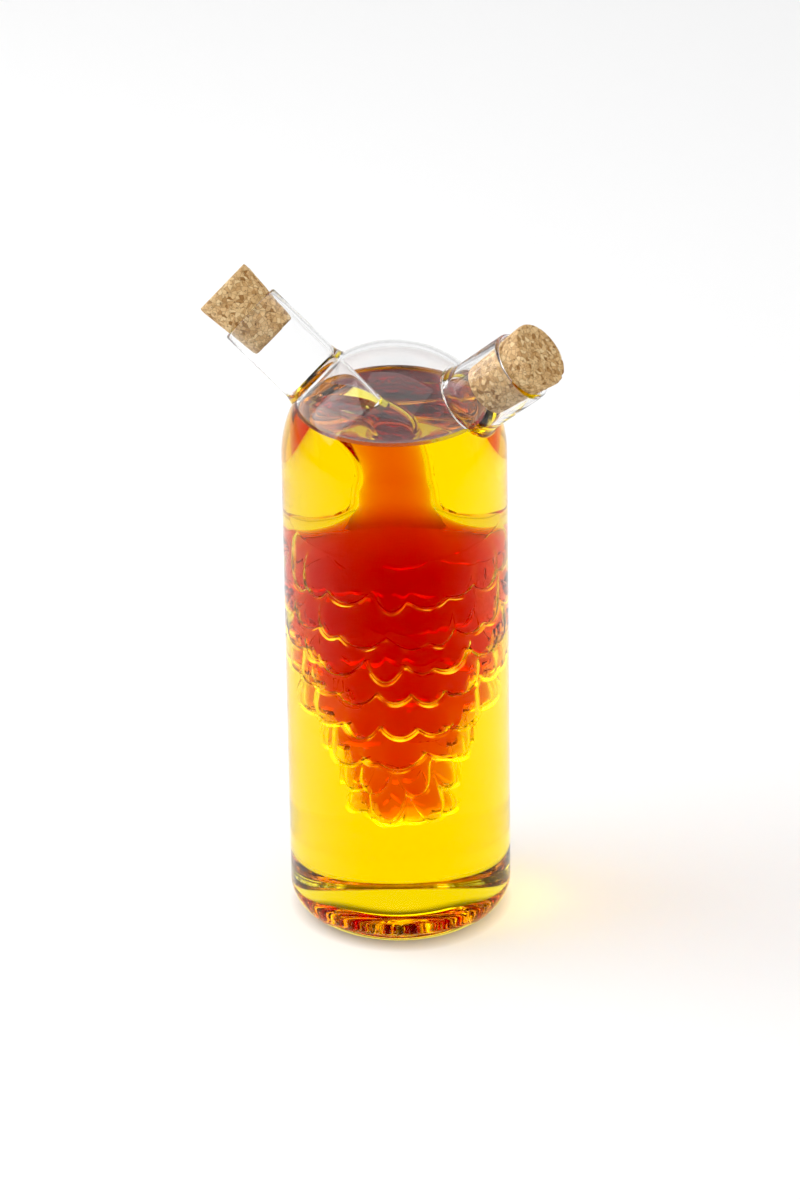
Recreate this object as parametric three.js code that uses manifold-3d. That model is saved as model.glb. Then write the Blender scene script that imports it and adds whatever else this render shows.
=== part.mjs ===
// Oil and vinegar bottle: one piece of blown glass with two corked spouts on its domed top.
// The body holds oil. The spout on the left runs down into a vessel shaped like a bunch of
// grapes, which stands clear inside the body and holds vinegar.
// Millimetres, +Z up. The origin is the middle of the flat underside; the spouts lie in the
// XZ plane, the oil spout towards +X and the vinegar spout towards -X.
import * as THREE from 'three';
import Module from 'manifold-3d';

const wasm = await Module();
wasm.setup();

// Body
const BODY_RADIUS = 32.5;
const BODY_WALL = 1.8;
const DOME_WALL = 1.6;
const DOME_CENTRE_HEIGHT = 146.5;
const BASE_EDGE_RADIUS = 8.6;
const FLOOR_THICKNESS = 3.8;
const FLOOR_EDGE_RADIUS = 6.8;
// The floor rises to a crown in the middle; it is cut at these shares of its radius
const FLOOR_CROWN = 4.5;
const CROWN_CUTS = [0, 0.45, 0.8];
// The dome's inside starts and its outside ends at these angles above the horizontal, in degrees
const DOME_FROM = 11;
const DOME_TO = 79;
const OIL_LEVEL = DOME_CENTRE_HEIGHT + 15;
const VINEGAR_LEVEL = DOME_CENTRE_HEIGHT + 12;

// Spouts: distances run along each spout's axis from the middle of the dome
const SPOUT_RISE = THREE.MathUtils.degToRad(40.5);
const OIL_SPOUT = { outer: 10.5, bore: 9.1, lip: 52 };
const VINEGAR_SPOUT = { outer: 9.75, bore: 8.35, lip: 57.8 };
// The weld at a spout's root: its profile as [share of the weld's length, share of its gain]
const WELD_RADIUS_GAIN = 3;
const WELD_LENGTH = 4;
const WELD_PROFILE = [[-0.5, 1.4], [0, 1], [0.5, 0.5], [1, 0.16], [1.6, 0]];
const OIL_CORK = { inner: 38, outer: 59.2, taper: 0.089 };
const VINEGAR_CORK = { inner: 47.8, outer: 68.6, taper: 0.089 };
const CORK_EDGE = 0.6;

// Tube and neck that lead from the vinegar spout down into the grape vessel
const VESSEL_WALL = 0.9;
const NECK_OUTER = 7.6;
const NECK_FOOT = DOME_CENTRE_HEIGHT - 6;
const FUNNEL_START = 30;
const FUNNEL_FIRST_PULL = 16;
const FUNNEL_LAST_PULL = 12;
const FUNNEL_NARROWS_BY = 0.62;
const FUNNEL_STEPS = 5;
const TUBE_TOP_WALL = 0.8;

// The vessel's shoulder, under the neck: [radius, depth below the dome's middle]
const SHOULDER = [[8.1, 8], [8.6, 12.5], [11.6, 16.4], [15.8, 19.8], [19.8, 22.6]];
// Rows of berries, from the top: radius over the berries, depth of the row's lower edge below
// the dome's middle, berries in the row, and the turn of the row in parts of one berry
const BERRY_ROWS = [
  { radius: 24, edge: 38.9, count: 14, turn: 0.5 },
  { radius: 24.6, edge: 50.8, count: 14, turn: 0 },
  { radius: 23.8, edge: 61.6, count: 13, turn: 0.5 },
  { radius: 21.4, edge: 71.5, count: 13, turn: 0 },
  { radius: 18.8, edge: 82.8, count: 11, turn: 0.5 },
  { radius: 15.3, edge: 93.6, count: 9, turn: 0 },
  { radius: 11.8, edge: 104.4, count: 7, turn: 0.5 },
  { radius: 11, edge: 112.6, count: 6, turn: 0 },
];
// Between two berries a row's edge rises by the scallop, and its face falls back by the valley
const SCALLOP = 3.2;
const VALLEY = 1.8;
// The crease under a row lies within the narrower of the two rows that meet there, mostly
const CREASE_DEPTH = 2.2;
const CREASE_LEAN = 0.7;
// The last row closes on a tip: its crease as a share of that row, and its drop below the row
const TIP_CORE = 0.8;
const TIP_DROP = 2.6;
// A row's face, as [share of the way from the edge above to its own, share of its relief]
const ROW_FACE = [[0.4, 0.83], [0.82, 1], [1, 0.06]];

// Gap between neighbouring pieces, and how finely round shapes are cut
const GAP = 0.3;
const BODY_SIDES = 40;
const BASE_EDGE_STEPS = 4;
const FLOOR_EDGE_STEPS = 4;
const DOME_STEPS = 7;
const DOME_INSIDE_STEPS = 6;
const OIL_SHORE_STEPS = 2;
const SPOUT_SIDES = 24;
const NECK_SIDES = 18;
const ROW_SIDES = 45;
const SMALL_ROW_SIDES = 30;
const SMALL_ROW_BERRIES = 11;
const SHOULDER_RINGS_AS_NECK = 3;
// How far a cutting shape runs past the skin that it opens
const THROUGH = 4;

const DOME_CENTRE = new THREE.Vector3(0, 0, DOME_CENTRE_HEIGHT);
const OIL_AXIS = new THREE.Vector3(Math.cos(SPOUT_RISE), 0, Math.sin(SPOUT_RISE));
const VINEGAR_AXIS = new THREE.Vector3(-Math.cos(SPOUT_RISE), 0, Math.sin(SPOUT_RISE));
const SIDEWAYS = new THREE.Vector3(0, 1, 0);

// A ring of points round a centre, seen along the direction of travel
function ring(centre, travel, radius, sides) {
  const across = new THREE.Vector3().crossVectors(SIDEWAYS, travel).normalize();
  const points = [];
  for (let i = 0; i < sides; i += 1) {
    const turn = (2 * Math.PI * i) / sides;
    const point = centre.clone().addScaledVector(across, radius * Math.cos(turn));
    points.push(point.addScaledVector(SIDEWAYS, radius * Math.sin(turn)));
  }
  return points;
}

// The band of triangles between two rings, given each ring's first point and its size. The
// rings may differ in size: the side that lags behind takes the next step.
function stitched(lowFirst, lowSize, highFirst, highSize) {
  const faces = [];
  let low = 0;
  let high = 0;
  while (low < lowSize || high < highSize) {
    const a = lowFirst + (low % lowSize);
    const b = highFirst + (high % highSize);
    if ((low + 1) * highSize <= (high + 1) * lowSize) {
      faces.push(a, lowFirst + ((low + 1) % lowSize), b);
      low += 1;
    } else {
      faces.push(a, highFirst + ((high + 1) % highSize), b);
      high += 1;
    }
  }
  return faces;
}

// A closed skin over rings, with a point at each end: the ends are rings of one point
function closedLoft(start, rings, end) {
  const all = [[start], ...rings, [end]];
  const faces = [];
  let first = 0;
  for (let k = 0; k + 1 < all.length; k += 1) {
    const size = all[k].length;
    const band = stitched(first, size, first + size, all[k + 1].length);
    for (let i = 0; i < band.length; i += 3) {
      const triangle = band.slice(i, i + 3);
      if (new Set(triangle).size === 3) {
        faces.push(...triangle);
      }
    }
    first += size;
  }
  return { points: all.flat(), faces };
}

function toSolid({ points, faces }) {
  const vertProperties = new Float32Array(points.flatMap((p) => [p.x, p.y, p.z]));
  const triVerts = new Uint32Array(faces);
  return new wasm.Manifold(new wasm.Mesh({ numProp: 3, vertProperties, triVerts }));
}

function toGeometry(solid) {
  const mesh = solid.getMesh();
  const geometry = new THREE.BufferGeometry();
  geometry.setAttribute('position', new THREE.BufferAttribute(mesh.vertProperties, mesh.numProp));
  geometry.setIndex(new THREE.BufferAttribute(mesh.triVerts, 1));
  geometry.computeVertexNormals();
  return geometry;
}

// A solid turned about the bottle's axis; the profile runs upwards as [radius, height] and
// starts and ends on the axis
function turned(profile, sides) {
  const at = (height) => new THREE.Vector3(0, 0, height);
  const between = profile.slice(1, -1);
  const rings = between.map(([radius, height]) => ring(at(height), at(1), radius, sides));
  return toSolid(closedLoft(at(profile[0][1]), rings, at(profile.at(-1)[1])));
}

// A straight solid on a spout's axis; the profile is [distance from the dome's middle, radius]
function onSpout(axis, profile, sides) {
  const at = (distance) => DOME_CENTRE.clone().addScaledVector(axis, distance);
  const rings = profile.map(([distance, radius]) => ring(at(distance), axis, radius, sides));
  return toSolid(closedLoft(at(profile[0][0]), rings, at(profile.at(-1)[0])));
}

// Points on a quarter turn or less, as [radius, height]
function arc(centreRadius, centreHeight, radius, fromAngle, toAngle, steps) {
  const points = [];
  for (let i = 0; i <= steps; i += 1) {
    const angle = THREE.MathUtils.degToRad(fromAngle + ((toAngle - fromAngle) * i) / steps);
    points.push([centreRadius + radius * Math.cos(angle), centreHeight + radius * Math.sin(angle)]);
  }
  return points;
}

function bodyOutside() {
  return turned([
    [0, 0],
    ...arc(BODY_RADIUS - BASE_EDGE_RADIUS, BASE_EDGE_RADIUS, BASE_EDGE_RADIUS, -90, 0, BASE_EDGE_STEPS),
    ...arc(0, DOME_CENTRE_HEIGHT, BODY_RADIUS, 0, DOME_TO, DOME_STEPS),
    [0, DOME_CENTRE_HEIGHT + BODY_RADIUS],
  ], BODY_SIDES);
}

// The room for the oil, drawn in by a clearance
function floorAndSide(clearance) {
  const side = BODY_RADIUS - BODY_WALL - clearance;
  const edge = FLOOR_EDGE_RADIUS - clearance;
  const floor = FLOOR_THICKNESS + clearance;
  const crown = (share) => [(side - edge) * share, floor + FLOOR_CROWN * (1 - share ** 2) ** 2];
  return [
    ...CROWN_CUTS.map(crown),
    ...arc(side - edge, floor + edge, edge, -90, 0, FLOOR_EDGE_STEPS),
  ];
}

function bodyInside() {
  const dome = BODY_RADIUS - DOME_WALL;
  return turned([
    ...floorAndSide(0),
    [BODY_RADIUS - BODY_WALL, DOME_CENTRE_HEIGHT],
    ...arc(0, DOME_CENTRE_HEIGHT, dome, DOME_FROM, DOME_TO, DOME_INSIDE_STEPS),
    [0, DOME_CENTRE_HEIGHT + dome],
  ], BODY_SIDES);
}

function spoutOutside(axis, spout) {
  const root = BODY_RADIUS - WELD_LENGTH;
  const weld = WELD_PROFILE.map(([along, gain]) => (
    [root + WELD_LENGTH * along, spout.outer + WELD_RADIUS_GAIN * gain]
  ));
  return onSpout(axis, [...weld, [spout.lip, spout.outer]], SPOUT_SIDES);
}

function cork(axis, spout, size) {
  const atLip = spout.bore - GAP;
  const radius = (distance) => atLip + (distance - spout.lip) * size.taper;
  return onSpout(axis, [
    [size.inner, radius(size.inner) - CORK_EDGE],
    [size.inner + CORK_EDGE, radius(size.inner)],
    [spout.lip, atLip],
    [size.outer - CORK_EDGE, radius(size.outer)],
    [size.outer, radius(size.outer) - CORK_EDGE],
  ], SPOUT_SIDES);
}

// How far a compass angle is from the middle of the nearest berry of a row: 1 is halfway to the
// next berry
function fromBerry(row, angle) {
  const turns = (angle * row.count) / (2 * Math.PI) + row.turn;
  return 2 * Math.abs(turns - Math.floor(turns) - 0.5);
}

// The depth of a row's scalloped lower edge at one compass angle
function lowerEdge(row, angle) {
  return row.edge - SCALLOP * fromBerry(row, angle) ** 2;
}

// The rings of one row of berries. The row hangs from the edge and the crease above it, and
// ends at its own, so that it overhangs the next row.
function rowRings(row, upperEdge, upperCrease, crease, grown) {
  const sides = row.count < SMALL_ROW_BERRIES ? SMALL_ROW_SIDES : ROW_SIDES;
  return ROW_FACE.map(([along, swell]) => {
    const points = [];
    for (let i = 0; i < sides; i += 1) {
      const angle = Math.PI - (2 * Math.PI * i) / sides;
      const core = THREE.MathUtils.lerp(upperCrease, crease, along);
      const crown = row.radius - VALLEY * fromBerry(row, angle) ** 2;
      const reach = core + (crown - core) * swell + grown;
      const depth = THREE.MathUtils.lerp(upperEdge(angle), lowerEdge(row, angle) + grown, along);
      const height = DOME_CENTRE_HEIGHT - depth;
      points.push(new THREE.Vector3(reach * Math.cos(angle), reach * Math.sin(angle), height));
    }
    return points;
  });
}

// The tube from the vinegar spout, the neck and the bunch, as one closed skin. It is grown by a
// number of millimetres: 0 is the outside of the glass, and less than 0 lies within.
function vessel(grown, topDistance, topRadius) {
  const down = new THREE.Vector3(0, 0, -1);
  const at = (distance) => DOME_CENTRE.clone().addScaledVector(VINEGAR_AXIS, distance);
  const rings = [topDistance, FUNNEL_START + WELD_LENGTH].map(
    (distance) => ring(at(distance), VINEGAR_AXIS.clone().negate(), topRadius, NECK_SIDES),
  );
  const neckFoot = new THREE.Vector3(0, 0, NECK_FOOT);
  const bend = new THREE.CubicBezierCurve3(
    at(FUNNEL_START),
    at(FUNNEL_START - FUNNEL_FIRST_PULL),
    neckFoot.clone().addScaledVector(down, -FUNNEL_LAST_PULL),
    neckFoot,
  );
  for (let k = 0; k <= FUNNEL_STEPS; k += 1) {
    const share = k / FUNNEL_STEPS;
    const narrowing = THREE.MathUtils.smoothstep(share, 0, FUNNEL_NARROWS_BY);
    const radius = THREE.MathUtils.lerp(topRadius, NECK_OUTER + grown, narrowing);
    rings.push(ring(bend.getPoint(share), bend.getTangent(share), radius, NECK_SIDES));
  }
  SHOULDER.forEach(([radius, depth], k) => {
    const [widerRadius, lowerDepth] = SHOULDER[k + 1] ?? [BERRY_ROWS[0].radius, BERRY_ROWS[0].edge];
    const slope = new THREE.Vector2(lowerDepth - depth, widerRadius - radius).normalize();
    const centre = new THREE.Vector3(0, 0, DOME_CENTRE_HEIGHT - depth + grown * slope.y);
    const sides = k < SHOULDER_RINGS_AS_NECK ? NECK_SIDES : SMALL_ROW_SIDES;
    rings.push(ring(centre, down, radius + grown * slope.x, sides));
  });
  let upperCrease = SHOULDER.at(-1)[0];
  let upperEdge = () => SHOULDER.at(-1)[1] - grown;
  BERRY_ROWS.forEach((row, k) => {
    const next = BERRY_ROWS[k + 1]?.radius ?? row.radius * TIP_CORE;
    const wider = Math.max(row.radius, next);
    const narrower = Math.min(row.radius, next);
    const crease = THREE.MathUtils.lerp(wider, narrower, CREASE_LEAN) - CREASE_DEPTH;
    rings.push(...rowRings(row, upperEdge, upperCrease, crease, grown));
    upperEdge = (angle) => lowerEdge(row, angle) + grown;
    upperCrease = crease;
  });
  const tip = DOME_CENTRE_HEIGHT - BERRY_ROWS.at(-1).edge - TIP_DROP - grown;
  return toSolid(closedLoft(at(topDistance), rings, new THREE.Vector3(0, 0, tip)));
}

// The vessel's tube is welded into the spout: its top, and its radius there
const TUBE_TOP = BODY_RADIUS + WELD_LENGTH;
const TUBE_TOP_RADIUS = VINEGAR_SPOUT.bore + VESSEL_WALL * TUBE_TOP_WALL;

function bottleGlass() {
  const vesselInside = vessel(-VESSEL_WALL, VINEGAR_SPOUT.lip + THROUGH, VINEGAR_SPOUT.bore);
  const boreFrom = BODY_RADIUS - 2 * THROUGH;
  const oilBore = onSpout(OIL_AXIS, [
    [boreFrom, OIL_SPOUT.bore],
    [OIL_SPOUT.lip + THROUGH, OIL_SPOUT.bore],
  ], SPOUT_SIDES);
  return bodyOutside()
    .add(spoutOutside(OIL_AXIS, OIL_SPOUT))
    .add(spoutOutside(VINEGAR_AXIS, VINEGAR_SPOUT))
    .subtract(bodyInside())
    .subtract(oilBore)
    .add(vessel(0, TUBE_TOP, TUBE_TOP_RADIUS))
    .subtract(vesselInside);
}

function oil() {
  const dome = BODY_RADIUS - DOME_WALL - GAP;
  const surface = THREE.MathUtils.radToDeg(Math.asin((OIL_LEVEL - DOME_CENTRE_HEIGHT) / dome));
  const filling = turned([
    ...floorAndSide(GAP),
    [BODY_RADIUS - BODY_WALL - GAP, DOME_CENTRE_HEIGHT],
    ...arc(0, DOME_CENTRE_HEIGHT, dome, DOME_FROM, surface, OIL_SHORE_STEPS),
    [0, OIL_LEVEL],
  ], BODY_SIDES);
  return filling.subtract(vessel(GAP, TUBE_TOP, TUBE_TOP_RADIUS + GAP));
}

function vinegar() {
  const below = turned([
    [0, 0],
    [2 * BODY_RADIUS, 0],
    [2 * BODY_RADIUS, VINEGAR_LEVEL],
    [0, VINEGAR_LEVEL],
  ], BODY_SIDES);
  return vessel(-VESSEL_WALL - GAP, VINEGAR_SPOUT.lip, VINEGAR_SPOUT.bore - GAP).intersect(below);
}

const clearGlass = new THREE.MeshStandardMaterial({ color: 0xe4efec, roughness: 0.03, metalness: 0 });
const yellowOil = new THREE.MeshStandardMaterial({ color: 0xf7d500, roughness: 0.05, metalness: 0 });
const redVinegar = new THREE.MeshStandardMaterial({ color: 0xa81205, roughness: 0.05, metalness: 0 });
const pressedCork = new THREE.MeshStandardMaterial({ color: 0xcda878, roughness: 0.85, metalness: 0 });

function piece(name, solid, material) {
  const mesh = new THREE.Mesh(toGeometry(solid), material);
  mesh.name = name;
  return mesh;
}

const bottle = new THREE.Group();
bottle.add(
  piece('bottle_glass', bottleGlass(), clearGlass),
  piece('oil', oil(), yellowOil),
  piece('vinegar', vinegar(), redVinegar),
  piece('oil_cork', cork(OIL_AXIS, OIL_SPOUT, OIL_CORK), pressedCork),
  piece('vinegar_cork', cork(VINEGAR_AXIS, VINEGAR_SPOUT, VINEGAR_CORK), pressedCork),
);

export default bottle;
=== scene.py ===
import math

import bmesh
import bpy
import numpy as np
from mathutils import Matrix, Vector
from mathutils.bvhtree import BVHTree


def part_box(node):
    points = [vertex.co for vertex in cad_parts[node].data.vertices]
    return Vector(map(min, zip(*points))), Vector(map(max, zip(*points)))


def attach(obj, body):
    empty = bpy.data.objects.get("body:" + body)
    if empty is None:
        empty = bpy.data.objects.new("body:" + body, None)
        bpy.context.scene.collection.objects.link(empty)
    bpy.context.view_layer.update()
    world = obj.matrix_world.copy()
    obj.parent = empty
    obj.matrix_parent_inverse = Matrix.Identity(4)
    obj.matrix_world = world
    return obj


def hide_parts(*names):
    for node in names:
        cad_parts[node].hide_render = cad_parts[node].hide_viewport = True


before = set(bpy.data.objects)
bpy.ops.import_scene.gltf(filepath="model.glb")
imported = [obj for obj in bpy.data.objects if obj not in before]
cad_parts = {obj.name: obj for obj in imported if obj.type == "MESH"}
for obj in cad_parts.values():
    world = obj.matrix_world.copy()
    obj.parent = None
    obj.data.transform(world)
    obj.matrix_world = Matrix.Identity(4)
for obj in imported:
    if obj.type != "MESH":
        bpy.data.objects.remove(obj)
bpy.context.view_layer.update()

MM = 0.001
SEED = 41

# The body, in millimetres like every size below
BODY_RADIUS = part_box("bottle_glass")[1][1] / MM
BODY_WALL = 1.8
DOME_WALL = 1.6
DOME_CENTRE_HEIGHT = 146.5
BASE_EDGE_RADIUS = 8.6
FLOOR_THICKNESS = 3.8
FLOOR_EDGE_RADIUS = 6.8
FLOOR_CROWN = 4.5
FLOOR_TOP = FLOOR_THICKNESS + FLOOR_EDGE_RADIUS
# The underside is hollowed to a punt, out to this share of the ring that the bottle stands on
PUNT_HEIGHT = 5.0
PUNT_SHARE = 0.97
PUNT_SQUARENESS = 4

# Levels above the middle of the dome, how high the oil climbs the glass, and how soon that fades
OIL_LEVEL = 15.0
VINEGAR_LEVEL = 12.0
MENISCUS = 0.9
MENISCUS_REACH = 1.3
# Where the oil's surface is cut, by the distance from the glass
SHORE_CUTS = (0.3, 0.7, 1.2, 1.8, 2.6, 3.6, 5, 8, 13, 19)
# A liquid's skin is open from this little below its level
SURFACE_DEPTH = 0.02
# How far a liquid reaches into the wall that holds it
INTO_WALL = 0.2

# The spouts: distances run along each spout's axis from the middle of the dome
SPOUT_RISE = math.radians(40.5)
OIL_SPOUT = {"outer": 10.5, "bore": 9.1, "lip": 52.0}
VINEGAR_SPOUT = {"outer": 9.75, "bore": 8.35, "lip": 57.8}
# The weld at a spout's root: its length, and how it flares, reaches out and is sunk in the dome
WELD_LENGTH = 4.0
WELD_RADIUS_GAIN = 3.0
WELD_HEEL = 1.35
WELD_FALL = 2.2
WELD_REACH = 1.6
WELD_SUNK = 2.0
# How far a tool that cuts a bore starts inside the dome and ends past the lip
BORE_START = 24.0
THROUGH = 4.0

# The corks: where they start and end along the spout, and how they widen
OIL_CORK = {"inner": 38.0, "outer": 59.2, "taper": 0.089}
VINEGAR_CORK = {"inner": 47.8, "outer": 68.6, "taper": 0.089}
CORK_CLEARANCE = 0.02
CORK_ROUNDING = 0.4
# Pits in each cork: how many, their sizes, and their depth as a share of the size
PIT_COUNT = 240
PIT_SIZES = (0.4, 1.3)
PIT_DEPTH = 0.4

# The tube, the neck and the grape vessel: depths are below the middle of the dome
VESSEL_WALL = 0.9
NECK_OUTER = 7.6
NECK_FOOT = 6.0
# The tube bends down from its start on the spout's axis to the neck's foot: how far each end
# pulls the curve, and the share of the way by which the tube is as narrow as the neck
FUNNEL_START = 30.0
FUNNEL_FIRST_PULL = 16.0
FUNNEL_LAST_PULL = 12.0
FUNNEL_NARROWS_BY = 0.62
# The tube's top, hidden in the spout: its wall as a share of the vessel's, its place and radius
TUBE_TOP_WALL = 0.8
TUBE_TOP = BODY_RADIUS + WELD_LENGTH
TUBE_TOP_RADIUS = VINEGAR_SPOUT["bore"] + VESSEL_WALL * TUBE_TOP_WALL
# The neck's flare into the bunch, as radius and depth
SHOULDER = [(8.1, 8.0), (8.6, 12.5), (11.6, 16.4), (15.8, 19.8), (19.8, 22.6)]
# Rows of berries from the top: radius over them, depth of their lower edge, count and turn
BERRY_ROWS = [
    (24.0, 38.9, 14, 0.5),
    (24.6, 50.8, 14, 0.0),
    (23.8, 61.6, 13, 0.5),
    (21.4, 71.5, 13, 0.0),
    (18.8, 82.8, 11, 0.5),
    (15.3, 93.6, 9, 0.0),
    (11.8, 104.4, 7, 0.5),
    (11.0, 112.6, 6, 0.0),
]
# Between two berries a row's edge rises by the scallop, and its face falls back by the valley
SCALLOP = 3.2
VALLEY = 1.3
# The crease between two rows lies this deep, nearer to the narrower row by the lean
CREASE_DEPTH = 2.2
CREASE_LEAN = 0.7
# The tip: its radius as a share of the last row's, and how far it hangs below that row
TIP_CORE = 0.8
TIP_DROP = 2.6
# How unevenly the berries were pressed: round the row, along the axis, outwards and in width
BERRY_SLIDE = 0.28
BERRY_SHIFT = 1.5
BERRY_PROUD = 0.5
BERRY_GROWTH = 0.35
# A row from the edge above it to its own: share of that way, and share of the relief. The
# outside ends in a hollow under the edge, the inside in a plain step.
ROW_FACE = [
    (0.03, 0.06), (0.08, 0.2), (0.15, 0.4), (0.24, 0.6), (0.34, 0.77), (0.45, 0.89), (0.56, 0.96),
    (0.67, 0.995), (0.76, 1.0), (0.84, 0.98), (0.9, 0.93), (0.945, 0.85), (0.975, 0.74),
    (0.993, 0.6), (1.0, 0.45),
]
ROW_HOLLOW = [(0.998, 0.3), (0.985, 0.16), (0.96, 0.06)]
ROW_STEP = [(1.003, 0.25), (1.005, 0.08)]

# Clear materials. Waves are given as (scale, strength, depth).
GLASS_INDEX = 1.5
GLASS_WAVES = (38.0, 0.15, 0.0006)
LIQUID_WAVES = (60.0, 0.05, 0.0004)
WAVE_DETAIL = 1.5
# The glass mirrors this share of what it should, or the white floor veils the red behind it
GLASS_MIRROR = 0.5
# An open surface passes this share of the light: painted shade, as a stand-in for what lies dark
# below it
SURFACE_PASSES = 0.35
# Index of refraction, colour and density of the liquids
OIL_LOOK = (1.47, (1.0, 0.942, 0.0), 100.0)
VINEGAR_LOOK = (1.35, (0.942, 0.58, 0.0), 300.0)

# Material slots of the glass, the last with painted glints
BARE_GLASS, GLASS_IN_OIL, GLASS_IN_VINEGAR, GLASS_PAINTED_GLINTS = range(4)
# A face is covered by a liquid whose skin lies nearer than this many times INTO_WALL
COVER_SEARCH = 1.5

# Golden glints painted as emission on the rims under the berries: how far down a face looks, and
# the patches of painted glint
RIM_FACING = -0.5
RIM_SCALE = 110.0
RIM_DETAIL = 2.0
RIM_THRESHOLD = 0.48
RIM_CONTRAST = 7.0
# The colour of the painted glints, given out as emission
PAINTED_GLINT_COLOUR = (0.95, 0.64, 0.05, 1.0)

# The corks' crumbs by the noise that picks them, the bark between them and their seams. Scales
# are in waves a metre, and a mask's cut is where it starts and how steeply it rises.
CRUMB_TONES = [
    (0.0, (0.30, 0.15, 0.05)),
    (0.14, (0.53, 0.32, 0.135)),
    (0.5, (0.64, 0.415, 0.195)),
    (0.8, (0.71, 0.49, 0.245)),
    (1.0, (0.77, 0.57, 0.31)),
]
CRUMB_SCALE = 760.0
DRIFT_SCALE = 420.0
DRIFT = 0.0012
BARK_COLOUR = (0.11, 0.045, 0.012, 1.0)
BARK_SCALE = 1500.0
BARK_CUT = (0.6, 9.0)
BARK_SHARE = 0.8
SEAM_COLOUR = (0.25, 0.12, 0.04, 1.0)
SEAM_CUT = (0.08, 12.0)
SEAM_SHARE = 0.7
CORK_NOISE_DETAIL = 3.0
CORK_ROUGHNESS = 0.86
CORK_RELIEF = {"crumbs": 0.35, "bark": 0.4, "seams": 0.5}
CORK_BUMP = {"Strength": 0.6, "Distance": 0.0003}

# How finely the smooth shapes are cut
BODY_SIDES = 144
BASE_EDGE_STEPS = 24
FLOOR_EDGE_STEPS = 20
SIDE_STEPS = 6
CROWN_STEPS = 22
CROWN_TO = 0.98
DOME_STEPS = 40
DOME_INSIDE_STEPS = 38
DOME_INSIDE_FROM = 4
DOME_TO = 88
SHORE_STEPS = 12
SPOUT_SIDES = 96
WELD_RINGS = 14
LIP_RINGS = 11
BORE_RINGS = 14
NECK_SIDES = 180
TUBE_RINGS = 4
BEND_STEPS = 22
SHOULDER_STEPS = 4
TIP_STEPS = 9
CORK_SIDES = 180
CORK_INNER_RINGS = 20
CORK_SIDE_RINGS = 76
CORK_OUTER_RINGS = 30
# Edges sharper than this stay sharp, and specks smaller than this are dropped
SHARP_EDGE = math.radians(38)
SPECK = 0.004

# The camera, from the outlines of the dome, spouts and base in the photograph of 800 x 1200
PHOTO_HEIGHT = 1200
PIXELS_PER_MM = 3.483
DOME_CENTRE_PIXEL = (394.2, 452.5)
PHOTO_CENTRE_PIXEL = (400.0, 600.0)
CAMERA_AZIMUTH = math.radians(21.5)
CAMERA_ELEVATION = math.radians(27.2)
CAMERA_ROLL = math.radians(0.9)
CAMERA_DISTANCE = 2010.0
SENSOR = 36.0
# How far the camera sees, in metres
CAMERA_REACH = 20.0

# The studio's brightness by the sine of the height above the horizon
BACKDROP_TOP = (0.58, 0.95)
CEILING = (0.78, 0.22)
# The soft lights, each in degrees round from the front and up, metres away and across, and watts
LEFT_WINDOW = (-72, 40, 1.15, 0.9, 7.0)
OVERHEAD_SOFTBOX = (0, 89, 1.6, 1.6, 14.0)
BRIGHT_PANE = (-72, 40, 1.15, 0.6, 22.0)
LIGHT_AIM = (0, 0, 0.09)
# The black point, at what the glass still mirrors of the white floor
BLACK_LEVEL = 0.026
# The floor, and its shade under the bottle: from this radius on it fades over this width
FLOOR_HALF = 4000.0
FLOOR_DROP = 0.05
FLOOR_FINISH = {"Roughness": 0.6, "Specular IOR Level": 0.2}
FLOOR_COLOUR = (0.9, 0.9, 0.9, 1.0)
CONTACT_COLOUR = (0.04, 0.035, 0.03, 1.0)
CONTACT_SHADE = (22.0, 11.0)

random = np.random.default_rng(SEED)


# Points and skins

def unit(vector):
    """A vector's direction, at length one."""
    return vector / np.linalg.norm(vector)


DOME_CENTRE = np.array([0.0, 0.0, DOME_CENTRE_HEIGHT])
OIL_AXIS = np.array([math.cos(SPOUT_RISE), 0.0, math.sin(SPOUT_RISE)])
VINEGAR_AXIS = np.array([-math.cos(SPOUT_RISE), 0.0, math.sin(SPOUT_RISE)])
SIDEWAYS = np.array([0.0, 1.0, 0.0])


def ring(centre, travel, radius, sides):
    """A ring of points round a centre, seen along the direction of travel."""
    across = unit(np.cross(SIDEWAYS, travel))
    turn = np.arange(sides) * (2 * math.pi / sides)
    return (
        centre
        + np.outer(np.cos(turn) * radius, across)
        + np.outer(np.sin(turn) * radius, SIDEWAYS)
    )


def add_mesh(name, vertices, faces):
    """A smooth-shaded object from points in millimetres."""
    mesh = bpy.data.meshes.new(name)
    mesh.from_pydata((np.asarray(vertices) * MM).tolist(), [], faces)
    mesh.update()
    made = bpy.data.objects.new(name, mesh)
    bpy.context.scene.collection.objects.link(made)
    mesh.polygons.foreach_set("use_smooth", [True] * len(mesh.polygons))
    return made


def closed_loft(name, start, rings, end):
    """A closed skin over rings of equal number, with a point at each end."""
    sides = len(rings[0])
    vertices = np.vstack([start, *rings, end])
    following = np.roll(np.arange(sides), -1)
    here = np.arange(sides)
    faces = [(0, 1 + b, 1 + a) for a, b in zip(here, following)]
    for k in range(len(rings) - 1):
        low = 1 + k * sides
        high = low + sides
        faces += [(low + a, low + b, high + b, high + a) for a, b in zip(here, following)]
    top = 1 + (len(rings) - 1) * sides
    faces += [(top + a, top + b, len(vertices) - 1) for a, b in zip(here, following)]
    return add_mesh(name, vertices, faces)


def turned(name, profile):
    """A solid turned about the bottle's axis; the profile starts and ends on it."""
    up = np.array([0.0, 0.0, 1.0])
    ends = [np.array([0.0, 0.0, profile[k][1]]) for k in (0, -1)]
    rings = [ring(up * height, up, radius, BODY_SIDES) for radius, height in profile[1:-1]]
    return closed_loft(name, ends[0], rings, ends[1])


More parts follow.
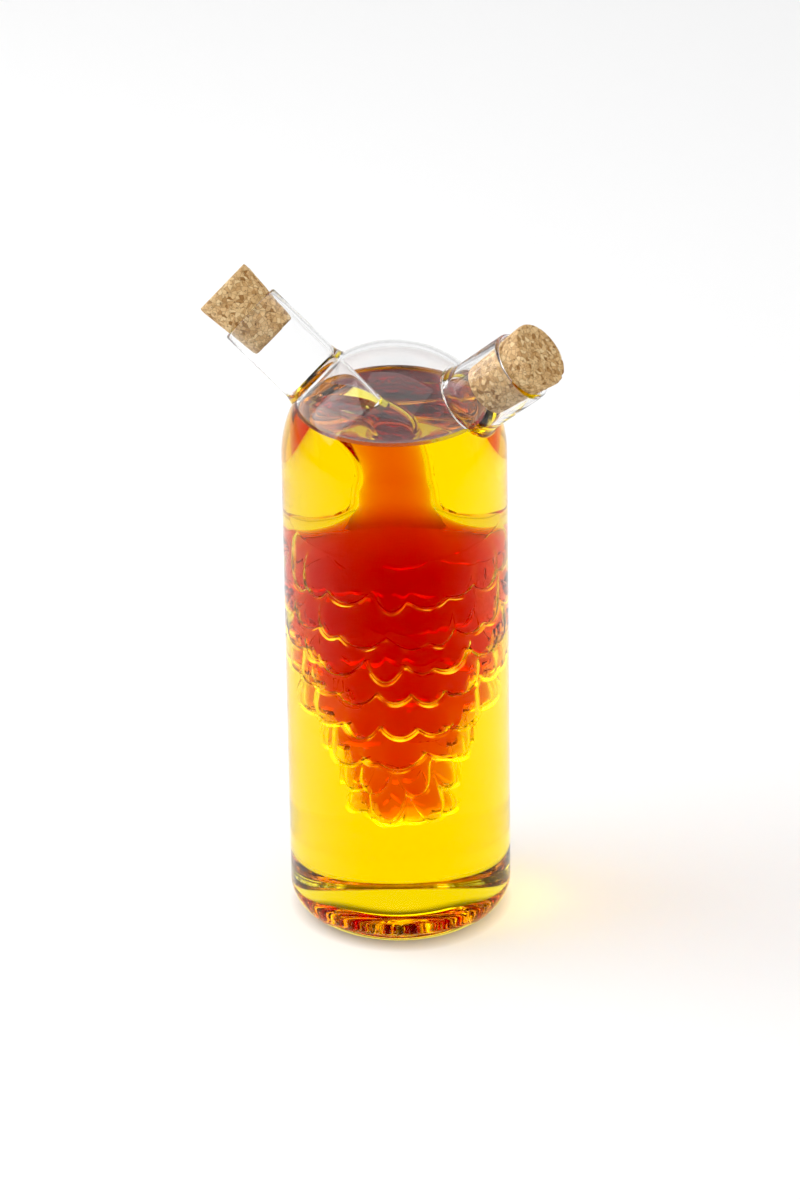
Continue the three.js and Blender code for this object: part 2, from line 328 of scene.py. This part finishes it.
def on_spout(name, axis, profile):
    """A straight solid on a spout's axis; the profile is (distance, radius)."""
    places = [DOME_CENTRE + axis * along for along, radius in profile]
    radii = [radius for along, radius in profile]
    rings = [ring(place, axis, radius, SPOUT_SIDES) for place, radius in zip(places, radii)]
    return closed_loft(name, places[0], rings, places[-1])


def arc(centre, radius, start, stop, steps):
    """Points (radius, height) on part of a circle."""
    angles = np.radians(np.linspace(start, stop, steps + 1))
    return [(centre[0] + radius * math.cos(a), centre[1] + radius * math.sin(a)) for a in angles]


def smooth_curve(knots, steps):
    """Points on a smooth curve through knots, evenly spread between each pair."""
    knots = np.array(knots, float)
    padded = np.vstack([2 * knots[0] - knots[1], knots, 2 * knots[-1] - knots[-2]])
    points = []
    for k in range(1, len(padded) - 2):
        before, here, after, later = padded[k - 1 : k + 3]
        for t in np.arange(steps) / steps:
            points.append(
                0.5
                * (
                    2 * here
                    + (after - before) * t
                    + (2 * before - 5 * here + 4 * after - later) * t**2
                    + (3 * here - before - 3 * after + later) * t**3
                )
            )
    return [*points, knots[-1]]


def combine(base, other, operation):
    """Joins or cuts base by other, and removes other."""
    modifier = base.modifiers.new("cut", "BOOLEAN")
    modifier.object = other
    modifier.operation = operation
    modifier.solver = "MANIFOLD"
    graph = bpy.context.evaluated_depsgraph_get()
    mesh = bpy.data.meshes.new_from_object(base.evaluated_get(graph), depsgraph=graph)
    base.modifiers.clear()
    old = base.data
    base.data = mesh
    bpy.data.meshes.remove(old)
    remove(other)


def remove(unwanted):
    """Deletes an object and its mesh."""
    mesh = unwanted.data
    bpy.data.objects.remove(unwanted)
    bpy.data.meshes.remove(mesh)


def settle(made, name):
    """Drops specks left by the cuts, and shades the skin smooth except at sharp edges."""
    made.name = made.data.name = name
    mesh = made.data
    mesh.materials.clear()
    skin = bmesh.new()
    skin.from_mesh(mesh)
    bmesh.ops.remove_doubles(skin, verts=skin.verts, dist=SPECK * MM)
    bmesh.ops.dissolve_degenerate(skin, edges=skin.edges, dist=SPECK / 2 * MM)
    for edge in skin.edges:
        edge.smooth = len(edge.link_faces) == 2 and edge.calc_face_angle() < SHARP_EDGE
    for face in skin.faces:
        face.smooth = True
    skin.to_mesh(mesh)
    skin.free()
    return made


# The grape vessel

def berry_rows():
    """Every row as its radius, and its lower edge and its crown at every angle."""
    rows = []
    for radius, edge, count, turn in BERRY_ROWS:
        lower = np.full(NECK_SIDES, -np.inf)
        crown = lower.copy()
        for k in range(count):
            slide, drop, proud, size = random.uniform(-1, 1, 4)
            middle = 2 * math.pi * (k + 0.5 - turn + slide * BERRY_SLIDE) / count
            half = math.pi / count * (1 + size * BERRY_GROWTH)
            away = ((VESSEL_ANGLES - middle + math.pi) % (2 * math.pi) - math.pi) / half
            lower = np.maximum(lower, edge + drop * BERRY_SHIFT - SCALLOP * away**2)
            crown = np.maximum(crown, proud * BERRY_PROUD - VALLEY * away**2)
        rows.append((radius, lower, crown))
    return rows


VESSEL_ANGLES = math.pi - np.arange(NECK_SIDES) * (2 * math.pi / NECK_SIDES)
TIP_DEPTH = BERRY_ROWS[-1][1] + TIP_DROP
ROWS = berry_rows()


def vessel_ring(reach, depth):
    """A ring of the vessel whose reach and depth may differ all round."""
    across = reach * np.cos(VESSEL_ANGLES)
    along = reach * np.sin(VESSEL_ANGLES)
    return np.column_stack([across, along, DOME_CENTRE_HEIGHT - depth + np.zeros(NECK_SIDES)])


def bunch_rings(grown):
    """Rings round the bunch, from under the shoulder to just above its tip."""
    profile = ROW_FACE + (ROW_HOLLOW if grown > -VESSEL_WALL / 2 else ROW_STEP)
    crease_above, shoulder_depth = SHOULDER[-1]
    upper = shoulder_depth - grown
    rings = []
    for k, (radius, lower, crown) in enumerate(ROWS):
        following = ROWS[k + 1][0] if k + 1 < len(ROWS) else radius * TIP_CORE
        narrow, wide = sorted((radius, following))
        crease = narrow * CREASE_LEAN + wide * (1 - CREASE_LEAN) - CREASE_DEPTH
        edge = lower + grown
        for along, swell in profile:
            core = crease_above + (crease - crease_above) * along
            reach = core + (radius + crown - core) * swell + grown
            rings.append(vessel_ring(reach, upper + (edge - upper) * along))
        crease_above, upper = crease, edge
    tip = TIP_DEPTH + grown
    for turn in np.linspace(0, math.pi / 2, TIP_STEPS + 1)[1:-1]:
        depth = upper + (tip - upper) * math.sin(turn)
        rings.append(vessel_ring((crease_above + grown) * math.cos(turn), depth))
    return rings


def bend_points(steps):
    """Places and directions on the curve from the vinegar spout down to the neck."""
    start = DOME_CENTRE + VINEGAR_AXIS * FUNNEL_START
    first = DOME_CENTRE + VINEGAR_AXIS * (FUNNEL_START - FUNNEL_FIRST_PULL)
    foot = DOME_CENTRE - np.array([0.0, 0.0, NECK_FOOT])
    last = foot + np.array([0.0, 0.0, FUNNEL_LAST_PULL])
    for share in np.linspace(0, 1, steps + 1):
        rest = 1 - share
        place = (
            start * rest**3
            + first * 3 * rest**2 * share
            + last * 3 * rest * share**2
            + foot * share**3
        )
        direction = (
            (first - start) * rest**2 + (last - first) * 2 * rest * share + (foot - last) * share**2
        )
        yield share, place, unit(direction)


def vessel(name, grown, top_distance, top_radius):
    """The tube from the vinegar spout, the neck and the bunch, as one closed skin."""
    down = np.array([0.0, 0.0, -1.0])
    inwards = -VINEGAR_AXIS
    rings = []
    for distance in np.linspace(top_distance, FUNNEL_START + 1, TUBE_RINGS):
        rings.append(ring(DOME_CENTRE + VINEGAR_AXIS * distance, inwards, top_radius, NECK_SIDES))
    for share, place, direction in bend_points(BEND_STEPS):
        eased = np.clip(share / FUNNEL_NARROWS_BY, 0, 1)
        eased = eased * eased * (3 - 2 * eased)
        radius = top_radius + (NECK_OUTER + grown - top_radius) * eased
        rings.append(ring(place, direction, radius, NECK_SIDES))
    knots = [(NECK_OUTER, NECK_FOOT), *SHOULDER]
    curve = np.array(smooth_curve(knots, SHOULDER_STEPS))[1:]
    slopes = np.gradient(curve, axis=0)
    slopes /= np.linalg.norm(slopes, axis=1)[:, None]
    for (radius, depth), (outward, downward) in zip(curve, slopes):
        centre = DOME_CENTRE + down * (depth - grown * outward)
        rings.append(ring(centre, down, radius + grown * downward, NECK_SIDES))
    rings += bunch_rings(grown)
    tip = np.array([0.0, 0.0, DOME_CENTRE_HEIGHT - TIP_DEPTH - grown])
    return closed_loft(name, DOME_CENTRE + VINEGAR_AXIS * top_distance, rings, tip)


# The bottle's body and spouts

def crowned_floor(reach, floor, height, squareness=2):
    """A floor that rises to a crown on the axis: the squarer, the flatter its top."""
    shares = np.linspace(0, CROWN_TO, CROWN_STEPS)
    return [(reach * s, floor + height * (1 - s**squareness) ** 2) for s in shares]


def side_points(reach, bottom):
    """Points up the straight side, from just above its bottom to just below the dome."""
    heights = np.linspace(bottom, DOME_CENTRE_HEIGHT, SIDE_STEPS + 1)[1:-1]
    return [(reach, height) for height in heights]


def body_outside():
    """The body's outer skin, with the punt and the dome."""
    ring_radius = BODY_RADIUS - BASE_EDGE_RADIUS
    return turned(
        "outside",
        [
            *crowned_floor(ring_radius * PUNT_SHARE, 0, PUNT_HEIGHT, PUNT_SQUARENESS),
            *arc((ring_radius, BASE_EDGE_RADIUS), BASE_EDGE_RADIUS, -90, 0, BASE_EDGE_STEPS),
            *side_points(BODY_RADIUS, BASE_EDGE_RADIUS),
            *arc((0, DOME_CENTRE_HEIGHT), BODY_RADIUS, 0, DOME_TO, DOME_STEPS),
            (0, DOME_CENTRE_HEIGHT + BODY_RADIUS),
        ],
    )


def floor_and_side(grown):
    """The lower part of the room for the oil, grown into the glass by some millimetres."""
    side = BODY_RADIUS - BODY_WALL + grown
    edge = FLOOR_EDGE_RADIUS + grown
    floor = FLOOR_THICKNESS - grown
    rim = arc((side - edge, floor + edge), edge, -90, 0, FLOOR_EDGE_STEPS)
    return [*crowned_floor(side - edge, floor, FLOOR_CROWN), *rim]


def body_inside():
    """The room in the body, up to the inside of the dome."""
    dome = BODY_RADIUS - DOME_WALL
    return turned(
        "inside",
        [
            *floor_and_side(0),
            *side_points(BODY_RADIUS - BODY_WALL, FLOOR_TOP),
            (BODY_RADIUS - BODY_WALL, DOME_CENTRE_HEIGHT),
            *arc((0, DOME_CENTRE_HEIGHT), dome, DOME_INSIDE_FROM, DOME_TO, DOME_INSIDE_STEPS),
            (0, DOME_CENTRE_HEIGHT + dome),
        ],
    )


def spout_outside(axis, spout):
    """A spout with a flared weld at the dome and a rounded lip."""
    root = BODY_RADIUS - WELD_LENGTH
    flare = []
    for share in np.linspace(0, 1, WELD_RINGS):
        gain = WELD_RADIUS_GAIN * (WELD_HEEL * (1 - share) ** WELD_FALL)
        along = root - WELD_SUNK + share * (WELD_LENGTH * WELD_REACH + WELD_SUNK)
        flare.append((along, spout["outer"] + gain))
    wall = spout["outer"] - spout["bore"]
    lip = []
    for turn in np.linspace(0, math.pi, LIP_RINGS):
        out = spout["outer"] - wall / 2 + math.cos(turn) * wall / 2
        lip.append((spout["lip"] - wall / 2 + math.sin(turn) * wall / 2, out))
    return on_spout("spout", axis, [*flare, *lip])


def bottle_glass():
    """The whole bottle in one piece of glass: body, spouts, tube and grape vessel."""
    glass = body_outside()
    combine(glass, spout_outside(OIL_AXIS, OIL_SPOUT), "UNION")
    combine(glass, spout_outside(VINEGAR_AXIS, VINEGAR_SPOUT), "UNION")
    combine(glass, body_inside(), "DIFFERENCE")
    cuts = np.linspace(BORE_START, OIL_SPOUT["lip"] + THROUGH, BORE_RINGS)
    bore = on_spout("bore", OIL_AXIS, [(distance, OIL_SPOUT["bore"]) for distance in cuts])
    combine(glass, bore, "DIFFERENCE")
    combine(glass, vessel("tube", 0, TUBE_TOP, TUBE_TOP_RADIUS), "UNION")
    mouth = VINEGAR_SPOUT["lip"] + THROUGH
    combine(glass, vessel("hollow", -VESSEL_WALL, mouth, VINEGAR_SPOUT["bore"]), "DIFFERENCE")
    return settle(glass, "blown_glass_bottle")


def oil_filling():
    """The oil up to its level, with its edge drawn up the glass, round the tube and the vessel."""
    side = BODY_RADIUS - BODY_WALL + INTO_WALL
    dome = BODY_RADIUS - DOME_WALL + INTO_WALL
    level = DOME_CENTRE_HEIGHT + OIL_LEVEL
    climb = math.degrees(math.asin((OIL_LEVEL + MENISCUS) / dome))
    shore = dome * math.cos(math.radians(climb))
    surface = [
        (shore - reach, level + MENISCUS * math.exp(-reach / MENISCUS_REACH))
        for reach in SHORE_CUTS
    ]
    filling = turned(
        "filling",
        [
            *floor_and_side(INTO_WALL),
            *side_points(side, FLOOR_TOP),
            (side, DOME_CENTRE_HEIGHT),
            *arc((0, DOME_CENTRE_HEIGHT), dome, DOME_INSIDE_FROM, climb, SHORE_STEPS),
            *surface,
            (0, level),
        ],
    )
    tube = vessel("tube", -INTO_WALL, TUBE_TOP, TUBE_TOP_RADIUS - INTO_WALL)
    combine(filling, tube, "DIFFERENCE")
    return settle(filling, "yellow_oil")


def vinegar_filling():
    """The vinegar in the vessel, the neck and the tube, up to its level."""
    level = DOME_CENTRE_HEIGHT + VINEGAR_LEVEL
    below = turned("below", [(0, 0), (BODY_RADIUS, 0), (BODY_RADIUS, level), (0, level)])
    grown, top_radius = INTO_WALL - VESSEL_WALL, VINEGAR_SPOUT["bore"] + INTO_WALL
    filling = vessel("filling", grown, VINEGAR_SPOUT["lip"], top_radius)
    combine(filling, below, "INTERSECT")
    return settle(filling, "red_vinegar")


# Corks

def cork(name, axis, spout, size):
    """A tapered cork of pressed crumbs, with torn pits and worn edges."""
    at_lip = spout["bore"] - CORK_CLEARANCE
    inner, outer = size["inner"], size["outer"]
    profile = [(inner, share) for share in np.linspace(0, 1, CORK_INNER_RINGS)[1:-1]]
    profile += [(distance, 1.0) for distance in np.linspace(inner, outer, CORK_SIDE_RINGS)]
    profile += [(outer, share) for share in np.linspace(1, 0, CORK_OUTER_RINGS)[1:-1]]
    rings = []
    for distance, share in profile:
        radius = at_lip + (distance - spout["lip"]) * size["taper"]
        to_end = min(distance - inner, outer - distance)
        rounding = CORK_ROUNDING * math.exp(-to_end / CORK_ROUNDING)
        reach = (radius - rounding) * share
        rings.append(ring(DOME_CENTRE + axis * distance, axis, reach, CORK_SIDES))
    start, end = DOME_CENTRE + axis * inner, DOME_CENTRE + axis * outer
    return tear_pits(closed_loft(name, start, rings, end), axis)


def tear_pits(made, axis):
    """Sinks pits of many sizes into a cork's skin, where crumbs have come away."""
    vertices = made.data.vertices
    points, normals = np.empty((2, len(vertices), 3))
    vertices.foreach_get("co", points.ravel())
    vertices.foreach_get("normal", normals.ravel())
    points /= MM
    from_axis = np.linalg.norm(np.cross(points - DOME_CENTRE, axis), axis=1)
    depth = np.zeros(len(points))
    for middle in random.choice(len(points), PIT_COUNT, p=from_axis / from_axis.sum()):
        size = random.uniform(*PIT_SIZES)
        away = np.linalg.norm(points - points[middle], axis=1) / size
        depth = np.maximum(depth, size * PIT_DEPTH * np.clip(1 - away**2, 0, 1))
    points -= normals * depth[:, None]
    vertices.foreach_set("co", points.ravel() * MM)
    made.data.update()
    return made


# Materials

class Value:
    """A socket that can be reckoned with: an expression on values adds its Math nodes."""

    def __init__(self, shader, socket):
        self.shader = shader
        self.socket = socket

    def _math(self, operation, *terms):
        inputs = dict(enumerate(terms))
        return self.shader.add("ShaderNodeMath", {"operation": operation}, inputs)[0]

    def __add__(self, other):
        return self._math("ADD", self, other)

    def __sub__(self, other):
        return self._math("SUBTRACT", self, other)

    def __rsub__(self, other):
        return self._math("SUBTRACT", other, self)

    def __mul__(self, other):
        return self._math("MULTIPLY", self, other)

    def __gt__(self, other):
        return self._math("GREATER_THAN", self, other)

    def clamp(self):
        """The value held between 0 and 1."""
        return self._math("MINIMUM", self._math("MAXIMUM", self, 0.0), 1.0)

    __radd__ = __add__
    __rmul__ = __mul__


class Shader:
    """The node tree of a material, or of the world."""

    def __init__(self, owner, output="ShaderNodeOutputMaterial"):
        owner.use_nodes = True
        self.owner = owner
        self.tree = owner.node_tree
        self.tree.nodes.clear()
        self.output = self.tree.nodes.new(output)

    def add(self, kind, settings=None, inputs=None):
        """Adds a node, sets it up, fills its sockets, and returns its outputs as values."""
        node = self.tree.nodes.new(kind)
        for name, setting in (settings or {}).items():
            if name == "stops":
                self._set_stops(node.color_ramp, setting)
            else:
                setattr(node, name, setting)
        for key, value in (inputs or {}).items():
            self._fill(node.inputs[key], value)
        return Outputs(self, node)

    def _fill(self, socket, value):
        if isinstance(value, Value):
            self.tree.links.new(value.socket, socket)
        else:
            socket.default_value = value

    def _set_stops(self, ramp, stops):
        while len(ramp.elements) < len(stops):
            ramp.elements.new(0.5)
        for element, (place, colour) in zip(ramp.elements, stops):
            element.position = place
            element.color = (*colour, 1.0)

    def finish(self, surface, volume=None):
        """Links what the tree has made to its output, and returns the material or world."""
        self._fill(self.output.inputs["Surface"], surface)
        if volume is not None:
            self._fill(self.output.inputs["Volume"], volume)
        return self.owner


class Outputs:
    """A node's outputs by name or number."""

    def __init__(self, shader, node):
        self.shader = shader
        self.node = node

    def __getitem__(self, key):
        return Value(self.shader, self.node.outputs[key])


def new_material(name):
    """The empty node tree of a new material."""
    return Shader(bpy.data.materials.new(name))


def mix_colours(shader, factor, first, second):
    """The first colour where the factor is 0, and the second where it is 1."""
    return shader.add("ShaderNodeMix", {"data_type": "RGBA"}, {0: factor, 6: first, 7: second})[2]


def object_place(shader):
    """Where a point of the skin lies on the object, in metres."""
    return shader.add("ShaderNodeTexCoord")["Object"]


def clear_skin(shader, index, normal, mirror=1.0, passes=1.0, painted_glow=None):
    """A skin that bends light by the ratio of the indices on its two sides."""
    inputs = {
        "Base Color": (passes, passes, passes, 1),
        "Roughness": 0.0,
        "IOR": index,
        "Transmission Weight": 1.0,
        "Specular Tint": (mirror, mirror, mirror, 1),
        "Normal": normal,
    }
    # A painted glow, given out as emission though the skin is no lamp
    if painted_glow is not None:
        inputs |= {"Emission Color": painted_glow, "Emission Strength": 1.0}
    return shader.add("ShaderNodeBsdfPrincipled", inputs=inputs)["BSDF"]


def noise(shader, place, scale, detail):
    """Cloudy noise, as its outputs by name."""
    inputs = {"Vector": place, "Scale": scale, "Detail": detail}
    return shader.add("ShaderNodeTexNoise", inputs=inputs)


def faint_waves(shader, scale, strength, depth):
    """A skin that is not quite even."""
    wave = noise(shader, object_place(shader), scale, WAVE_DETAIL)["Fac"]
    inputs = {"Height": wave, "Strength": strength, "Distance": depth}
    return shader.add("ShaderNodeBump", inputs=inputs)["Normal"]


def blown_glass(name, index):
    """Hand-blown glass with faint waves; the index is set against what lies on its far side."""
    shader = new_material(name)
    skin = clear_skin(shader, index, faint_waves(shader, *GLASS_WAVES), GLASS_MIRROR)
    return shader.finish(skin)


def glass_with_painted_glints(name, index):
    """The thick folded glass under each berry, with golden glints painted on it in patches as
    emission.
    """
    shader = new_material(name)
    patches = noise(shader, object_place(shader), RIM_SCALE, RIM_DETAIL)["Fac"]
    # Patches of painted glint, glowing gold
    painted_light_mask = ((patches - RIM_THRESHOLD) * RIM_CONTRAST).clamp()
    painted_glow = mix_colours(shader, painted_light_mask, (0.0, 0.0, 0.0, 1.0), PAINTED_GLINT_COLOUR)
    waves = faint_waves(shader, *GLASS_WAVES)
    return shader.finish(clear_skin(shader, index, waves, GLASS_MIRROR, painted_glow=painted_glow))


def clear_liquid(name, index, tint, density, level):
    """A liquid whose colour deepens with its thickness.

    Its open surface bends light. The rest of its skin lies in the glass and does nothing,
    because the glass there is set against the liquid."""
    shader = new_material(name)
    waves = faint_waves(shader, *LIQUID_WAVES)
    height = shader.add("ShaderNodeSeparateXYZ", inputs={"Vector": object_place(shader)})["Z"]
    is_open = height > (DOME_CENTRE_HEIGHT + level - SURFACE_DEPTH) * MM
    covered = clear_skin(shader, 1.0, waves)
    # The open surface is darkened by painted shade
    top = clear_skin(shader, index, waves, passes=SURFACE_PASSES)
    surface = shader.add("ShaderNodeMixShader", inputs={0: is_open, 1: covered, 2: top})["Shader"]
    colour = {"Color": (*tint, 1), "Density": density}
    volume = shader.add("ShaderNodeVolumeAbsorption", inputs=colour)["Volume"]
    return shader.finish(surface, volume)


def mark_covered(glass, liquids):
    """Gives the faces of the glass that each liquid covers their own material slot."""
    faces = glass.data.polygons
    covered = np.full(len(faces), BARE_GLASS, dtype=np.int32)
    for slot, liquid in liquids.items():
        skin = bmesh.new()
        skin.from_mesh(liquid.data)
        tree = BVHTree.FromBMesh(skin)
        skin.free()
        for face in faces:
            if tree.find_nearest(face.center, COVER_SEARCH * INTO_WALL * MM)[0] is not None:
                covered[face.index] = slot
    faces.foreach_set("material_index", covered)


def mark_painted_glint_faces(glass):
    """Gives the undersides of the berries, among the faces in oil, the slot of the glass with
    painted glints.
    """
    top = (DOME_CENTRE_HEIGHT - SHOULDER[-1][1]) * MM
    for face in glass.data.polygons:
        in_oil = face.material_index == GLASS_IN_OIL
        if in_oil and face.center.z < top and face.normal.z < RIM_FACING:
            face.material_index = GLASS_PAINTED_GLINTS


def pressed_cork():
    """Crumbs of cork pressed together: pale and tan grains with dark bark between them."""
    shader = new_material("pressed_cork")
    place = object_place(shader)
    drift = noise(shader, place, DRIFT_SCALE, CORK_NOISE_DETAIL)["Color"]
    warped = shader.add(
        "ShaderNodeVectorMath",
        {"operation": "MULTIPLY_ADD"},
        {0: drift, 1: (DRIFT, DRIFT, DRIFT), 2: place},
    )["Vector"]
    crumbs = {"Vector": warped, "Scale": CRUMB_SCALE, "Randomness": 1.0}
    crumb = shader.add("ShaderNodeTexVoronoi", {"feature": "F1"}, crumbs)["Color"]
    edges = shader.add("ShaderNodeTexVoronoi", {"feature": "DISTANCE_TO_EDGE"}, crumbs)
    shade = shader.add("ShaderNodeSeparateColor", inputs={"Color": crumb})["Red"]
    tone = shader.add("ShaderNodeValToRGB", {"stops": CRUMB_TONES}, {"Fac": shade})["Color"]
    specks = noise(shader, place, BARK_SCALE, CORK_NOISE_DETAIL)["Fac"]
    bark = ((specks - BARK_CUT[0]) * BARK_CUT[1]).clamp()
    seam = ((SEAM_CUT[0] - edges["Distance"]) * SEAM_CUT[1]).clamp()
    barked = mix_colours(shader, bark * BARK_SHARE, tone, BARK_COLOUR)
    colour = mix_colours(shader, seam * SEAM_SHARE, barked, SEAM_COLOUR)
    raised = shade * CORK_RELIEF["crumbs"] + specks * CORK_RELIEF["bark"]
    height = raised - seam * CORK_RELIEF["seams"]
    bump = shader.add("ShaderNodeBump", inputs={"Height": height} | CORK_BUMP)["Normal"]
    skin = {"Base Color": colour, "Roughness": CORK_ROUGHNESS, "Normal": bump}
    return shader.finish(shader.add("ShaderNodeBsdfPrincipled", inputs=skin)["BSDF"])


def pale_floor():
    """A white floor, shaded where the bottle keeps the overhead light off it."""
    shader = new_material("pale_floor")
    place = object_place(shader)
    away = shader.add("ShaderNodeVectorMath", {"operation": "LENGTH"}, {0: place})["Value"]
    start, width = CONTACT_SHADE
    painted_light_mask = ((away - start * MM) * (1 / (width * MM))).clamp()
    colour = mix_colours(shader, painted_light_mask, CONTACT_COLOUR, FLOOR_COLOUR)
    skin = {"Base Color": colour} | FLOOR_FINISH
    return shader.finish(shader.add("ShaderNodeBsdfPrincipled", inputs=skin)["BSDF"])


# Pieces

def dress(piece, node, materials):
    """Gives a piece its materials and puts it in the place of its node in the part."""
    for material in materials:
        piece.data.materials.append(material)
    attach(piece, "root")
    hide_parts(node)


def build_bottle():
    """Every piece of the part: the glass, both liquids and both corks."""
    glass, oil, vinegar = bottle_glass(), oil_filling(), vinegar_filling()
    mark_covered(glass, {GLASS_IN_OIL: oil, GLASS_IN_VINEGAR: vinegar})
    mark_painted_glint_faces(glass)
    glasses = [
        blown_glass("blown_glass", GLASS_INDEX),
        blown_glass("blown_glass_under_oil", GLASS_INDEX / OIL_LOOK[0]),
        blown_glass("blown_glass_under_vinegar", GLASS_INDEX / VINEGAR_LOOK[0]),
        # Glass with golden glints painted on as emission
        glass_with_painted_glints("blown_glass_painted_glints", GLASS_INDEX / OIL_LOOK[0]),
    ]
    dress(glass, "bottle_glass", glasses)
    dress(oil, "oil", [clear_liquid("clear_yellow_oil", *OIL_LOOK, OIL_LEVEL)])
    red = clear_liquid("clear_red_vinegar", *VINEGAR_LOOK, VINEGAR_LEVEL)
    dress(vinegar, "vinegar", [red])
    cork_crumbs = pressed_cork()
    right = cork("right_cork", OIL_AXIS, OIL_SPOUT, OIL_CORK)
    left = cork("left_cork", VINEGAR_AXIS, VINEGAR_SPOUT, VINEGAR_CORK)
    dress(right, "oil_cork", [cork_crumbs])
    dress(left, "vinegar_cork", [cork_crumbs])


# Studio

def build_floor():
    """A wide floor just under the bottle."""
    signs = [(-1, -1), (1, -1), (1, 1), (-1, 1)]
    corners = [(across * FLOOR_HALF, along * FLOOR_HALF, 0) for across, along in signs]
    plane = add_mesh("studio_floor", corners, [(0, 1, 2, 3)])
    plane.location.z = -FLOOR_DROP * MM
    plane.data.materials.append(pale_floor())


def soft_light(name, azimuth, elevation, distance, size, power):
    """A square soft light that faces the middle of the bottle."""
    light = bpy.data.lights.new(name, "AREA")
    light.shape = "SQUARE"
    light.size = size
    light.energy = power
    lamp = bpy.data.objects.new(name, light)
    bpy.context.scene.collection.objects.link(lamp)
    turn, rise = math.radians(azimuth), math.radians(elevation)
    front, side = -math.cos(turn), math.sin(turn)
    out = Vector((side * math.cos(rise), front * math.cos(rise), math.sin(rise)))
    lamp.location = Vector(LIGHT_AIM) + out * distance
    lamp.rotation_mode = "QUATERNION"
    lamp.rotation_quaternion = (-out).to_track_quat("-Z", "Y")
    return lamp


def build_world():
    """A white backdrop that curves up behind the bottle, under a dimmer ceiling."""
    world = bpy.data.worlds.new("studio")
    shader = Shader(world, "ShaderNodeOutputWorld")
    direction = shader.add("ShaderNodeTexCoord")["Generated"]
    height = shader.add("ShaderNodeSeparateXYZ", inputs={"Vector": direction})["Z"]
    stops = [(place, (grey, grey, grey)) for place, grey in (BACKDROP_TOP, CEILING)]
    sky = shader.add("ShaderNodeValToRGB", {"stops": stops}, {"Fac": height})["Color"]
    light = shader.add("ShaderNodeBackground", inputs={"Color": sky, "Strength": 1.0})
    bpy.context.scene.world = shader.finish(light["Background"])


def build_lights():
    """A window at the left with a brighter pane for reflections, and a wide light overhead."""
    build_world()
    soft_light("left_window", *LEFT_WINDOW)
    overhead = soft_light("overhead_softbox", *OVERHEAD_SOFTBOX)
    overhead.visible_glossy = False
    overhead.data.use_shadow = False
    pane = soft_light("bright_pane", *BRIGHT_PANE)
    pane.visible_diffuse = False
    pane.visible_transmission = False


def build_camera():
    """Puts the dome's middle at its pixel, with the photograph's angle, scale and roll."""
    azimuth, elevation = CAMERA_AZIMUTH, CAMERA_ELEVATION
    right = Vector((math.cos(azimuth), math.sin(azimuth), 0))
    back = Vector(
        (
            math.sin(azimuth) * math.cos(elevation),
            -math.cos(azimuth) * math.cos(elevation),
            math.sin(elevation),
        )
    )
    up = back.cross(right)
    rolled_right = right * math.cos(CAMERA_ROLL) - up * math.sin(CAMERA_ROLL)
    rolled_up = right * math.sin(CAMERA_ROLL) + up * math.cos(CAMERA_ROLL)
    across = (DOME_CENTRE_PIXEL[0] - PHOTO_CENTRE_PIXEL[0]) / PIXELS_PER_MM
    above = (PHOTO_CENTRE_PIXEL[1] - DOME_CENTRE_PIXEL[1]) / PIXELS_PER_MM
    place = Vector(DOME_CENTRE) - rolled_right * across - rolled_up * above + back * CAMERA_DISTANCE
    data = bpy.data.cameras.new("camera")
    data.sensor_width = SENSOR
    data.lens = SENSOR * CAMERA_DISTANCE * PIXELS_PER_MM / PHOTO_HEIGHT
    data.clip_end = CAMERA_REACH
    camera = bpy.data.objects.new("camera", data)
    bpy.context.scene.collection.objects.link(camera)
    turn = Matrix((rolled_right, rolled_up, back)).transposed()
    camera.matrix_world = Matrix.Translation(place * MM) @ turn.to_4x4()
    bpy.context.scene.camera = camera


def set_levels():
    """Plain colours, with the black point at the faint mirror image of the white floor."""
    view = bpy.context.scene.view_settings
    view.view_transform = "Standard"
    view.use_curve_mapping = True
    view.curve_mapping.black_level = (BLACK_LEVEL, BLACK_LEVEL, BLACK_LEVEL)
    view.curve_mapping.update()


def set_light_paths():
    """Enough bounces for light to cross every wall of glass."""
    scene = bpy.context.scene
    scene.cycles.max_bounces = 40
    scene.cycles.transmission_bounces = 40
    scene.cycles.glossy_bounces = 30
    scene.cycles.diffuse_bounces = 3
    scene.cycles.caustics_reflective = False
    scene.cycles.caustics_refractive = True
    scene.cycles.blur_glossy = 0.6
    scene.cycles.sample_clamp_indirect = 8.0


build_camera()
build_bottle()
build_floor()
build_lights()
set_light_paths()
set_levels()
